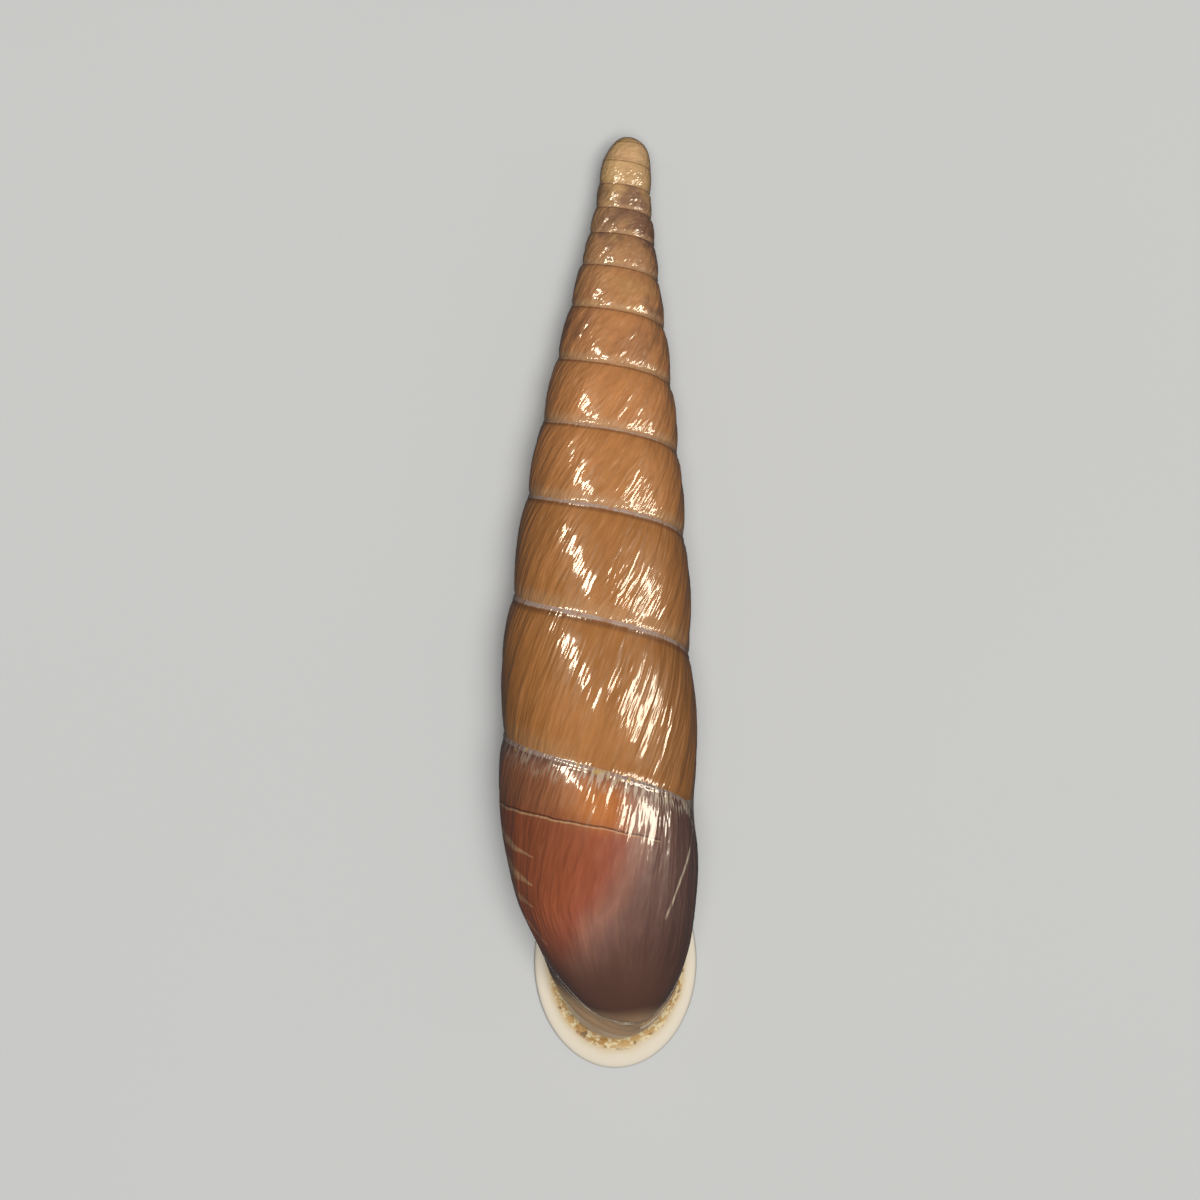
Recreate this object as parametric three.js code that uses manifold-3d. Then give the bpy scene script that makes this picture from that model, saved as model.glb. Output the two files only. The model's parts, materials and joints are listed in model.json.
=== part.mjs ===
// The empty shell of a large door snail: a slender, left-handed spire of about eleven and a half
// whorls with a blunt tip, a tapering last whorl and a projecting white lip round the mouth.
//
// Millimetres, +Z up. The shell lies on its mouth, as it rests by itself: the flat front of the lip
// and the underside of the spire touch the plane z = 0, the tip points along +Y and +X is the side
// on which the last whorl turns down to the mouth. The origin is the middle of the shell's box, at
// the bottom.
//
// The surface is worked out in the shell's own coordinates first: "drop" is the distance along the
// coiling axis from just below the tip, "radius" the distance from that axis, and "turn" counts
// whorls, with turn 0 where the last whorl bends away from the spire and negative turns towards
// the tip.
import * as THREE from "three";
import { mergeVertices } from "three/addons/utils/BufferGeometryUtils.js";
import Module from "manifold-3d";

const wasm = await Module();
wasm.setup();

// How finely the shell is cut into faces
const COLUMNS_PER_TURN = 36;
const ROW_STEP = 1.15;
const FEWEST_ROWS = 4;
const BASE_ROWS = 7;
const RING_SIDES = 44;
const NECK_STEPS = 6;
const HOLLOW_STEPS_IN_NECK = 5;
const HOLLOW_STEPS_IN_WHORL = 11;
const FOLD_STEPS = 10;

// The suture, where each whorl meets the one above it: [turn, drop, radius]. Past turn 0 it is the
// line where the next suture would lie if the shell grew on, which shapes the last whorl.
const TIP_DROP = -0.19;
const FIRST_TURN = -12.5;
const LAST_COLUMNS = 2;
const SUTURE = [
  [-11.5, -0.03, 0.52],
  [-11, 0.26, 0.82],
  [-10.5, 0.8, 0.97],
  [-10, 1.34, 1.03],
  [-9, 2.32, 1.05],
  [-8, 3.34, 1.16],
  [-7, 4.48, 1.37],
  [-6, 5.99, 1.63],
  [-5, 7.94, 1.99],
  [-4, 10.35, 2.42],
  [-3, 13.16, 2.85],
  [-2, 16.62, 3.29],
  [-1, 21.42, 3.65],
  [-0.5, 24.52, 3.82],
  [0, 27.78, 3.75],
  [0.5, 30.83, 3.7],
  [1, 32.79, 3.35],
  [1.2, 33.4, 3.2],
];

// Where the base of the last whorls closes on the axis: [turn, drop]
const BASE_TIP = [
  [-1, 31.9],
  [-0.75, 34.6],
  [-0.5, 36.1],
  [-0.25, 36.5],
  [0.1, 36.8],
];

// A whorl's bulge as a share of its height, and how sharply it starts below the suture
const WHORL_BULGE = 0.045;
const SHOULDER = 0.9;

// The last whorl's base: how far it carries on straight, and how full its round end is
const BASE_REACH = 1.6;
const BASE_FULLNESS = 0.56;

// The axis bends a little towards +X, above the last whorls and again below them
const SPIRE_BEND = { from: 21.06, over: 20.4, by: 1.19, power: 1.3 };
const BASE_BEND = { from: 25.13, over: 11.4, by: 0.81, power: 1.5 };

// How the shell lies: the tilt of its axis, and how far it is worn flat where it touches
const REST_TILT = THREE.MathUtils.degToRad(4.9);
const WORN_FLAT = 0.02;

// The mouth, in the plane that the shell lies on: its centre, half width and two half heights, in
// the throat and at the lip's edge
const THROAT = { x: 0.77, drop: 34.06, side: 2.45, top: 3.6, base: 3.1 };
const LIP = { x: 0.72, drop: 34.06, side: 3.42, top: 4.6, base: 4.47 };
// The upper corner of the mouth, on the outer lip's side: direction, reach and width
const CORNER = { at: 62, out: 0.3, width: 26 };

// The lip's section from the back of the throat round its edge to its flat front:
// [share of the way from throat to edge, height above the plane that the shell lies on]
const LIP_BACK = [
  [0, 1.5],
  [0.07, 0.95],
  [0.27, 0.6],
  [0.55, 0.45],
  [0.84, 0.4],
  [0.97, 0.32],
  [1, 0.2],
  [0.95, 0.06],
  [0.84, 0],
  [0.3, 0],
];
// The inside of the lip, from in front of it into the throat
const LIP_INSIDE = [
  [0.86, -0.5],
  [0.5, 0],
  [0.24, 0.13],
  [0, 0.42],
  [-0.22, 0.85],
  [-0.36, 1.4],
];

// Where the neck starts under the surface of the last whorl: how deep, round which middle, and its
// inner side, which lies inside the shell: [x, drop]
const NECK_INSET = 0.03;
const NECK_MIDDLE = { x: 0.9, drop: 32.6 };
const NECK_INSIDE = [
  [-1.9, 31.9],
  [-0.9, 30.2],
  [0.4, 28.8],
  [2.0, 27.4],
];
// Directions round the mouth, in degrees, that the corners of the neck's start lead to
const TO_SUTURE = 62;
const TO_FOOT = -20;
const TO_BASE_TIP = -95;
const TO_FAR_SIDE = -165;

// The hollow inside the last whorl, from turn 0 back: [turn, radius, drop, half width, half height]
const HOLLOW = [
  [-0.7, 2.1, 28.9, 1.0, 1.3],
  [-0.5, 2.15, 30.0, 1.2, 1.55],
  [-0.25, 1.9, 31.4, 1.15, 1.5],
  [0, 1.75, 32.85, 1.1, 1.5],
];

// How deep the folds inside the mouth are rooted in the wall
const FOLD_ROOT = 0.15;
// The folds: where each starts and ends on the wall of the hollow, as a direction round the mouth
// and a share of the way in, with its height and thickness
const FOLDS = [
  { from: [100, 0.06], to: [118, 0.8], height: 0.75, thickness: 0.26 },
  { from: [222, 0.16], to: [165, 0.98], height: 0.95, thickness: 0.34 },
  { from: [246, 0.3], to: [205, 0.95], height: 0.4, thickness: 0.26 },
];

// A smooth curve through a table's points: the value in the given column at x
function curve(table, x, column) {
  const last = table.length - 1;
  let i = 0;
  while (i < last - 1 && x > table[i + 1][0]) i += 1;
  const span = table[i + 1][0] - table[i][0];
  const slope = (k) => {
    const a = table[Math.max(0, k - 1)];
    const b = table[Math.min(last, k + 1)];
    return (b[column] - a[column]) / (b[0] - a[0]);
  };
  const s = Math.min(1, Math.max(0, (x - table[i][0]) / span));
  const out = s * (1 - s) * (1 - s) * span;
  const back = s * s * (s - 1) * span;
  return mix(table[i][column], table[i + 1][column], ease(s)) + out * slope(i) + back * slope(i + 1);
}

function mix(a, b, s) {
  return a + (b - a) * s;
}

function ease(s) {
  return s * s * (3 - 2 * s);
}

// How far the axis lies towards +X at a drop
function axisOffset(drop) {
  const above = Math.max(0, (SPIRE_BEND.from - drop) / SPIRE_BEND.over);
  const below = Math.max(0, (drop - BASE_BEND.from) / BASE_BEND.over);
  return SPIRE_BEND.by * above ** SPIRE_BEND.power + BASE_BEND.by * below ** BASE_BEND.power;
}

// A point of the shell in its own coordinates, with z towards the back of the shell
function around(turn, radius, drop) {
  const angle = 2 * Math.PI * turn;
  const x = axisOffset(drop) + radius * Math.cos(angle);
  return new THREE.Vector3(x, -drop, -radius * Math.sin(angle));
}

// The point turned with the shell, so that the shell lies on its mouth
function laid(p) {
  return p.clone().applyAxisAngle(new THREE.Vector3(1, 0, 0), -REST_TILT);
}

// How sharply the wall swells between two sutures: 0 on both, 1 where it bulges most
function swelling(v) {
  const peak = SHOULDER / (1 + SHOULDER);
  return (v ** SHOULDER * (1 - v)) / (peak ** SHOULDER * (1 - peak));
}

// A point [radius, drop] of the wall, from the suture above it (v = 0) to the one below it (v = 1)
function wallAt(turn, v) {
  const top = turn < SUTURE[0][0] ? [0, TIP_DROP] : [curve(SUTURE, turn, 2), curve(SUTURE, turn, 1)];
  const foot = [curve(SUTURE, turn + 1, 2), curve(SUTURE, turn + 1, 1)];
  const along = [foot[0] - top[0], foot[1] - top[1]];
  const out = WHORL_BULGE * swelling(v);
  return [top[0] + along[0] * v + along[1] * out, top[1] + along[1] * v - along[0] * out];
}

// A point [radius, drop] of the base of a last whorl, from the wall's foot (v = 0) to the axis
function baseAt(turn, v) {
  const foot = wallAt(turn, 1);
  const before = wallAt(turn, 0.98);
  const tip = curve(BASE_TIP, turn, 1);
  const heading = [foot[0] - before[0], foot[1] - before[1]];
  const reach = BASE_REACH / Math.hypot(...heading);
  const base = new THREE.CubicBezierCurve(
    new THREE.Vector2(...foot),
    new THREE.Vector2(foot[0] + heading[0] * reach, foot[1] + heading[1] * reach),
    new THREE.Vector2(foot[0] * BASE_FULLNESS, tip),
    new THREE.Vector2(0, tip),
  );
  return base.getPoint(v).toArray();
}

// A closed surface that is put together from points
class Surface {
  constructor() {
    this.points = [];
    this.faces = [];
  }

  add(p) {
    this.points.push(p);
    return this.points.length - 1;
  }

  face(a, b, c) {
    if (a !== b && b !== c && c !== a) this.faces.push([a, b, c]);
  }

  // The band between two lines of points, which may hold different numbers of them
  band(left, right) {
    let [i, j] = [0, 0];
    while (i < left.length - 1 || j < right.length - 1) {
      const leftShare = (i + 1) / (left.length - 1);
      const leftIsNext = j === right.length - 1 || leftShare <= (j + 1) / (right.length - 1);
      if (i < left.length - 1 && leftIsNext) {
        this.face(left[i], left[i + 1], right[j]);
        i += 1;
      } else {
        this.face(left[i], right[j + 1], right[j]);
        j += 1;
      }
    }
  }

  // The tube between two rings
  tube(ring, next) {
    this.band([...ring, ring[0]], [...next, next[0]]);
  }

  // A flat lid on a ring that lies in a plane across z
  lid(ring, faceUp) {
    const outline = ring.map((k) => new THREE.Vector2(this.points[k].x, this.points[k].y));
    for (const [a, b, c] of THREE.ShapeUtils.triangulateShape(outline, [])) {
      const across = outline[b].clone().sub(outline[a]).cross(outline[c].clone().sub(outline[a]));
      if (across > 0 === faceUp) this.face(ring[a], ring[b], ring[c]);
      else this.face(ring[a], ring[c], ring[b]);
    }
  }

  // A lid that rises to a point over a ring
  cone(ring, tip) {
    const top = this.add(tip);
    ring.forEach((k, n) => this.face(k, ring[(n + 1) % ring.length], top));
  }

  solid() {
    return new wasm.Manifold(
      new wasm.Mesh({
        numProp: 3,
        vertProperties: new Float32Array(this.points.flatMap((p) => laid(p).toArray())),
        triVerts: new Uint32Array(this.faces.flat()),
      }),
    );
  }
}

// The rows of a column of the wall, closer together below the suture, where the wall turns quickly
function rowShares(turn) {
  const [top, foot] = [wallAt(turn, 0), wallAt(turn, 1)];
  const length = Math.hypot(foot[0] - top[0], foot[1] - top[1]);
  const rows = FEWEST_ROWS + Math.floor(length / ROW_STEP);
  return Array.from({ length: rows }, (_, k) => ((k + 1) / rows) ** 1.35);
}

// The whorls from the tip to just past turn 0, as a closed surface
function whorls() {
  const surface = new Surface();
  const columns = [];
  const bases = [];
  const count = Math.round(-FIRST_TURN * COLUMNS_PER_TURN) + LAST_COLUMNS;
  const turnOf = (i) => (i + LAST_COLUMNS - count) / COLUMNS_PER_TURN;
  const tip = surface.add(around(0, 0, TIP_DROP));
  for (let i = 0; i <= count; i += 1) {
    const turn = turnOf(i);
    const column = [i < COLUMNS_PER_TURN ? tip : columns[i - COLUMNS_PER_TURN].at(-1)];
    for (const v of rowShares(turn)) column.push(surface.add(around(turn, ...wallAt(turn, v))));
    columns.push(column);
    if (i < count - COLUMNS_PER_TURN) continue;
    const base = [column.at(-1)];
    for (let k = 1; k <= BASE_ROWS; k += 1) {
      base.push(surface.add(around(turn, ...baseAt(turn, k / BASE_ROWS))));
    }
    bases.push(base);
  }
  for (let i = 0; i < count; i += 1) {
    const closesTip = i === COLUMNS_PER_TURN - 1;
    const next = columns[i + 1];
    surface.band(columns[i], closesTip ? [...columns[0], ...next.slice(1)] : next);
  }
  for (let i = 0; i < COLUMNS_PER_TURN; i += 1) surface.band(bases[i], bases[i + 1]);
  const outer = [...columns.at(-1), ...bases.at(-1).slice(1)];
  const axis = bases.slice(1, -1).map((base) => base.at(-1));
  surface.lid([...outer, ...axis.reverse(), ...bases[0].slice(1).reverse()], false);
  return surface;
}

// Where the neck starts, as a closed line in the plane of turn 0: points, each with the direction
// round the mouth that it leads to. Its outer side lies just under the last whorl's surface, round
// the base and up its far side, and its inner side inside the shell.
function neckStart() {
  const outline = [];
  const lay = (turn, spots, at) => spots.map((v) => around(turn, ...at(turn, v)));
  const spread = (first, last, n) => {
    return Array.from({ length: n }, (_, k) => mix(first, last, k / (n - 1)));
  };
  const inside = NECK_INSIDE.map(([x, drop]) => new THREE.Vector3(x, -drop, 0));
  const parts = [
    [[...lay(-1, [0.88, 0.96], wallAt), ...lay(0, spread(0.04, 1, 9), wallAt)], TO_SUTURE, TO_FOOT],
    [[...lay(0, spread(0, 1, 10), baseAt)], TO_FOOT, TO_BASE_TIP],
    [[...lay(-0.5, spread(1, 0.3, 8), baseAt)], TO_BASE_TIP, TO_FAR_SIDE],
    [[...lay(-0.5, [0.3], baseAt), ...inside, ...lay(-1, [0.88], wallAt)], TO_FAR_SIDE, TO_SUTURE - 360],
  ];
  const middle = new THREE.Vector3(NECK_MIDDLE.x, -NECK_MIDDLE.drop, 0);
  for (const [points, first, last] of parts) {
    const steps = points.slice(1).map((p, k) => p.distanceTo(points[k]));
    const whole = steps.reduce((a, b) => a + b, 0);
    let run = 0;
    points.slice(0, -1).forEach((p, k) => {
      const inset = middle.clone().sub(p).setLength(NECK_INSET);
      const start = p.clone().add(inset).setZ(NECK_INSET);
      outline.push({ p: start, direction: mix(first, last, run / whole) });
      run += steps[k];
    });
  }
  return outline;
}

// The point of such a line that leads to a direction
function onLine(line, direction) {
  const closed = [...line, { p: line[0].p, direction: line[0].direction - 360 }];
  let d = direction;
  while (d > TO_SUTURE) d -= 360;
  while (d <= TO_SUTURE - 360) d += 360;
  let k = 0;
  while (k < closed.length - 2 && closed[k + 1].direction > d) k += 1;
  const [a, b] = [closed[k], closed[k + 1]];
  return a.p.clone().lerp(b.p, (a.direction - d) / (a.direction - b.direction));
}

// A point round the mouth, from the throat (share 0) to the lip's edge (share 1), at a height above
// the plane that the shell lies on
function mouthAt(direction, share, height, floor) {
  const angle = THREE.MathUtils.degToRad(direction);
  const [c, s] = [Math.cos(angle), Math.sin(angle)];
  const end = s > 0 ? "top" : "base";
  const fromCorner = ((((direction - CORNER.at) % 360) + 540) % 360) - 180;
  const reach = 1 + (CORNER.out / LIP.top) * Math.exp(-((fromCorner / CORNER.width) ** 2));
  const x = mix(THROAT.x, LIP.x, share) + mix(THROAT.side, LIP.side, share) * c * reach;
  const rise = mix(THROAT[end], LIP[end], share) * s * reach;
  const y = rise - mix(THROAT.drop, LIP.drop, share);
  const above = floor + height - laid(new THREE.Vector3(x, y, 0)).z;
  return new THREE.Vector3(x, y, above / Math.cos(REST_TILT));
}

// A smooth way from one point to another, leaving and arriving in the given directions
function sweep(from, to, leave, arrive, s) {
  const reach = from.distanceTo(to);
  return from
    .clone()
    .lerp(to, ease(s))
    .addScaledVector(leave, s * (1 - s) * (1 - s) * reach)
    .addScaledVector(arrive, s * s * (s - 1) * reach);
}

const ringDirections = Array.from({ length: RING_SIDES }, (_, k) => TO_SUTURE - (360 * k) / RING_SIDES);
const ALONG_WHORL = new THREE.Vector3(0, -0.26, -1).normalize();
const TO_FLOOR = new THREE.Vector3(0, 0, -1);

// The neck, from the last whorl down to the mouth, and the back of the lip round it
function neck(floor) {
  const surface = new Surface();
  const line = neckStart();
  const rings = [];
  for (let k = 0; k < NECK_STEPS; k += 1) {
    const s = k / NECK_STEPS;
    rings.push(
      ringDirections.map((d) => {
        const [from, to] = [onLine(line, d), mouthAt(d, ...LIP_BACK[0], floor)];
        return surface.add(sweep(from, to, ALONG_WHORL, TO_FLOOR, s));
      }),
    );
  }
  for (const [share, height] of LIP_BACK) {
    rings.push(ringDirections.map((d) => surface.add(mouthAt(d, share, height, floor))));
  }
  surface.lid(rings[0], true);
  for (let k = 1; k < rings.length; k += 1) surface.tube(rings[k - 1], rings[k]);
  surface.lid(rings.at(-1), false);
  return surface;
}

// A point on the hollow's wall inside the last whorl, for a direction round it
function hollowAt(turn, direction) {
  const [radius, drop, across, along] = [1, 2, 3, 4].map((column) => curve(HOLLOW, turn, column));
  const angle = THREE.MathUtils.degToRad(direction);
  return around(turn, radius + across * Math.cos(angle), drop - along * Math.sin(angle));
}

// A point on the hollow's wall between the throat (way 0) and the last whorl (way 1)
function throatAt(direction, way, floor) {
  const from = mouthAt(direction, ...LIP_INSIDE.at(-1), floor);
  const to = hollowAt(0, direction);
  return sweep(from, to, TO_FLOOR.clone().negate(), ALONG_WHORL.clone().negate(), way);
}

// The hollow of the mouth, the neck and the last half whorl
function hollow(floor) {
  const surface = new Surface();
  const rings = [];
  for (const [share, height] of LIP_INSIDE) {
    rings.push(ringDirections.map((d) => surface.add(mouthAt(d, share, height, floor))));
  }
  for (let k = 1; k < HOLLOW_STEPS_IN_NECK; k += 1) {
    const way = k / HOLLOW_STEPS_IN_NECK;
    rings.push(ringDirections.map((d) => surface.add(throatAt(d, way, floor))));
  }
  for (let k = 0; k <= HOLLOW_STEPS_IN_WHORL; k += 1) {
    const turn = (HOLLOW[0][0] * k) / HOLLOW_STEPS_IN_WHORL;
    rings.push(ringDirections.map((d) => surface.add(hollowAt(turn, d))));
  }
  surface.lid(rings[0], false);
  for (let k = 1; k < rings.length; k += 1) surface.tube(rings[k], rings[k - 1]);
  const [endTurn, endRadius, endDrop] = HOLLOW[0];
  surface.cone([...rings.at(-1)].reverse(), around(endTurn - 0.04, endRadius, endDrop - 0.2));
  return surface;
}

// One fold inside the mouth, rooted in the wall of the hollow and tapering at both ends
function fold({ from, to, height, thickness }, floor) {
  const surface = new Surface();
  const rings = [];
  const wallPoint = (s) => throatAt(mix(from[0], to[0], s), mix(from[1], to[1], s), floor);
  for (let k = 0; k <= FOLD_STEPS; k += 1) {
    const s = k / FOLD_STEPS;
    const p = wallPoint(s);
    const ahead = wallPoint(s + 0.01).sub(p).normalize();
    const inward = new THREE.Vector3();
    for (const d of [0, 90, 180, 270]) {
      inward.addScaledVector(throatAt(d, mix(from[1], to[1], s), floor), 0.25);
    }
    inward.sub(p).addScaledVector(ahead, -inward.dot(ahead)).normalize();
    const aside = new THREE.Vector3().crossVectors(ahead, inward);
    const rise = height * Math.sin(Math.PI * mix(0.03, 0.97, s)) ** 0.7;
    const section = [
      [-0.75, -FOLD_ROOT],
      [-0.45, rise * 0.55],
      [-0.3, rise * 0.93],
      [0, rise],
      [0.3, rise * 0.93],
      [0.45, rise * 0.55],
      [0.75, -FOLD_ROOT],
    ];
    rings.push(
      section.map(([across, up]) =>
        surface.add(p.clone().addScaledVector(aside, across * thickness).addScaledVector(inward, up)),
      ),
    );
  }
  for (let k = 1; k < rings.length; k += 1) surface.tube(rings[k - 1], rings[k]);
  surface.cone([...rings[0]].reverse(), wallPoint(0));
  surface.cone(rings.at(-1), wallPoint(1));
  return surface;
}

// Everything of a solid that lies above a plane across z
function above(solid, height) {
  const box = new THREE.BoxGeometry(20, 100, 20).translate(0, -20, height + 10);
  const welded = mergeVertices(box.deleteAttribute("normal").deleteAttribute("uv"));
  const block = new wasm.Manifold(
    new wasm.Mesh({
      numProp: 3,
      vertProperties: new Float32Array(welded.attributes.position.array),
      triVerts: new Uint32Array(welded.index.array),
    }),
  );
  return solid.intersect(block);
}

const spireSolid = whorls().solid();
const floor = spireSolid.boundingBox().min[2] + WORN_FLAT;
let solid = spireSolid.add(neck(floor).solid()).subtract(hollow(floor).solid());
for (const shape of FOLDS) solid = solid.add(fold(shape, floor).solid());
solid = above(solid, floor);

const { vertProperties, triVerts } = solid.getMesh();
const geometry = new THREE.BufferGeometry();
geometry.setAttribute("position", new THREE.BufferAttribute(vertProperties, 3));
geometry.setIndex(new THREE.BufferAttribute(triVerts, 1));
geometry.computeBoundingBox();
const { min, max } = geometry.boundingBox;
geometry.translate(-(min.x + max.x) / 2, -(min.y + max.y) / 2, -min.z);

const shell = new THREE.Mesh(
  geometry,
  new THREE.MeshStandardMaterial({ color: 0xa4683f, roughness: 0.35 }),
);
shell.name = "shell";

const part = new THREE.Group();
part.add(shell);
export default part;
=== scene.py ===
"""Looks of the door snail shell: the grown surface with its growth ribs, thread-like sutures, the
folds that show through the last whorl, the stained neck and the white lip.

The shell is worked out in millimetres in its own coordinates, as it grows: "turn" counts whorls,
0 where the last whorl leaves the spire and negative towards the tip, "drop" is the distance along
the axis from just below the tip and "radius" the distance from it. "across" runs over a whorl, 0
at the suture above, 1 at the one below and 2 at the base's middle. "zone" is 0 on the whorls, 0 to
1 on the neck, 1 to 2 on the back of the lip, and more on its front and into the mouth. The shell is
then laid on its mouth.
"""
import json
import math

import bmesh
import bpy
import numpy as np
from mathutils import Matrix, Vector
from mathutils.geometry import tessellate_polygon
from mathutils.kdtree import KDTree

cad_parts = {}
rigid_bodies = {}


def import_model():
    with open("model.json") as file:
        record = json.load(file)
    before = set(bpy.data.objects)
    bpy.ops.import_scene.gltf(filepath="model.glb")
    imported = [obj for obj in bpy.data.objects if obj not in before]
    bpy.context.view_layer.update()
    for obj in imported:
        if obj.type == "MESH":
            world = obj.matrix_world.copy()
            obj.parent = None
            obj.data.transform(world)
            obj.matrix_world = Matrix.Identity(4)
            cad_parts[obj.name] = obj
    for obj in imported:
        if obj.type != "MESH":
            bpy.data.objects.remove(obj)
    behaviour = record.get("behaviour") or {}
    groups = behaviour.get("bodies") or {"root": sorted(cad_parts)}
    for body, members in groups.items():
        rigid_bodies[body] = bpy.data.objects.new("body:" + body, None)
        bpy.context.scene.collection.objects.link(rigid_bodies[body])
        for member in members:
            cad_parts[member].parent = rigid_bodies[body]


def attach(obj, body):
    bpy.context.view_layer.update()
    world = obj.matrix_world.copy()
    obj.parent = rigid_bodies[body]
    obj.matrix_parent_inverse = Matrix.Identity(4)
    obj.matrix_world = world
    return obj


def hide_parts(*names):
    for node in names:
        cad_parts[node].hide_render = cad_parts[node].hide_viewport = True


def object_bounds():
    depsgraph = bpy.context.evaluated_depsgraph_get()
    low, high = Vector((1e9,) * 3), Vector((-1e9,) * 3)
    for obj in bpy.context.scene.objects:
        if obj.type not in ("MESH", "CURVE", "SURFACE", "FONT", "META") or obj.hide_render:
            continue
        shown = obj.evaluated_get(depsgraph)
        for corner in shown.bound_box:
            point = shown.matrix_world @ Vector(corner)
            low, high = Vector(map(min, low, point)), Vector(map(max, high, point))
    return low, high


for leftover in list(bpy.data.objects):
    bpy.data.objects.remove(leftover)
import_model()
cad_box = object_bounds()

MM = 0.001

# The suture, in millimetres: [turn, drop, radius], past turn 0 where the next one would lie
SUTURE = np.array([
    (-11.5, -0.03, 0.52), (-11, 0.26, 0.82), (-10.5, 0.8, 0.97), (-10, 1.34, 1.03),
    (-9, 2.32, 1.05), (-8, 3.34, 1.16), (-7, 4.48, 1.37), (-6, 5.99, 1.63),
    (-5, 7.94, 1.99), (-4, 10.35, 2.42), (-3, 13.16, 2.85), (-2, 16.62, 3.29),
    (-1, 21.42, 3.65), (-0.5, 24.52, 3.82), (0, 27.78, 3.75), (0.5, 30.83, 3.7),
    (1, 32.79, 3.35), (1.2, 33.4, 3.2),
])
# Where the base of the last whorls closes on the axis: [turn, drop]
BASE_TIP = np.array([(-1, 31.9), (-0.75, 34.6), (-0.5, 36.1), (-0.25, 36.5), (0.1, 36.8)])
TIP_DROP = -0.19
FIRST_TURN = -12.5
LAST_TURN = 2 / 36
# The coiling axis bends a little towards +X above and below its middle: [drop where the bend
# starts, length, reach, power]
BEND_ABOVE = (21.06, 20.4, 1.19, 1.3)
BEND_BELOW = (25.13, 11.4, 0.81, 1.5)
# How far a whorl swells as a share of its height, and how close to its top: 1 is the middle
WHORL_BULGE = 0.045
SHOULDER = 0.9
# How the base leaves the wall's foot, and how full it is before it closes on the axis
BASE_REACH = 1.6
BASE_FULLNESS = 0.56
# How the shell lies: its tilt, and how deep the spot that it rests on is worn
REST_TILT = math.radians(4.9)
WORN_FLAT = 0.02

# How closely the surface is worked out
COLUMNS_PER_TURN = 360
RIB_LEAN_COLUMNS = 32
TIP_ROWS = (0.06, 0.16, 0.3, 0.45, 0.6, 0.75, 0.9, 1)
WHORL_ROWS = (
    0.012, 0.024, 0.036, 0.055, 0.1, 0.17, 0.26, 0.36, 0.47, 0.58, 0.69, 0.79, 0.88, 0.95, 1,
)
TIP_ROWS_END = -6.5
BASE_ROWS = 16
AXIS_COLUMNS = 24
RING_SIDES = 240
NECK_STEPS = 44
THROAT_STEPS = 12
HOLLOW_STEPS = 27
FOLD_STEPS = 36

# The growth ribs: their height, the turn where they begin, how many turns they need to full
# strength, and the turn from which they stand upright
RIB_HEIGHT = 0.032
RIBS_SINCE = -10.5
RIBS_GROWN_IN = 2.5
UPRIGHT_SINCE = -0.3
# The raised thread along the sutures
THREAD_AT = 0.022
THREAD_WIDTH = 0.014
THREAD_RISE = 0.028

# The throat and the lip: the middle of each and how far it reaches to the side, top and base
THROAT = dict(x=0.77, drop=34.06, side=2.45, top=3.6, base=3.1)
LIP = dict(x=0.72, drop=34.06, side=3.42, top=4.6, base=4.47)
# The mouth's corner by the suture: its direction, how far it stands out, and its width in degrees
CORNER = dict(at=62, out=0.3, width=26)
# The lip's section as [share of the way from throat to lip, height]: its back and its inside
LIP_BACK = np.array([
    (0, 1.5), (0.07, 0.95), (0.27, 0.6), (0.55, 0.45), (0.84, 0.4), (0.97, 0.32), (1, 0.2),
    (0.95, 0.06), (0.84, 0), (0.3, 0),
])
LIP_INSIDE = np.array([(0.86, -0.5), (0.5, 0), (0.24, 0.13), (0, 0.42), (-0.22, 0.85), (-0.36, 1.4)])
# The growth values of the neck's end and of the mouth's inside
NECK_TURN = 0.2
NECK_GROWTH = 5
INSIDE = 5
# Where the neck starts, just under the surface of the last whorl
NECK_INSET = 0.03
NECK_MIDDLE = np.array((0.9, -32.6, 0.0))
NECK_INSIDE = np.array([(-1.9, -31.9, 0), (-0.9, -30.2, 0), (0.4, -28.8, 0), (2.0, -27.4, 0)])
# The directions round the mouth, in degrees, that parts of the neck's start lead to
TO_SUTURE = 62
TO_FOOT = -20
TO_BASE_TIP = -95
TO_FAR_SIDE = -165
# How the neck's start is eased, as a share of its length and a number of points to each side
NECK_EASED = 0.25
NECK_EASE_SPAN = 8
# The rounded seam between the last whorl and the neck, and the tip's rounded cap
NECK_SEAM_WIDTH = 1.6
SEAM_ROUNDS = 300
SEAM_MERGE = 0.04
BASE_END_REACH = 0.6
BASE_END_MERGE = 0.15
CAP_LENGTH = 1.5
CAP_ROUNDS = 60
# The hollow behind the mouth: [turn, radius, drop, half its width across and along the axis]
HOLLOW = np.array([
    (-0.7, 2.1, 28.9, 1.0, 1.3), (-0.5, 2.15, 30.0, 1.2, 1.55), (-0.25, 1.9, 31.4, 1.15, 1.5),
    (0, 1.75, 32.85, 1.1, 1.5),
])
# The folds in the throat: [direction, way inward] of the start and of the end
FOLDS = (
    dict(start=(100, 0.06), end=(118, 0.8), height=0.75, thickness=0.26),
    dict(start=(222, 0.16), end=(165, 0.98), height=0.95, thickness=0.34),
    dict(start=(246, 0.3), end=(205, 0.95), height=0.4, thickness=0.26),
)
FOLD_ROOT = 0.15
ALONG_WHORL = np.array((0, -0.26, -1)) / math.hypot(0.26, 1)
TO_FLOOR = np.array((0.0, 0.0, -1.0))


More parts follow.
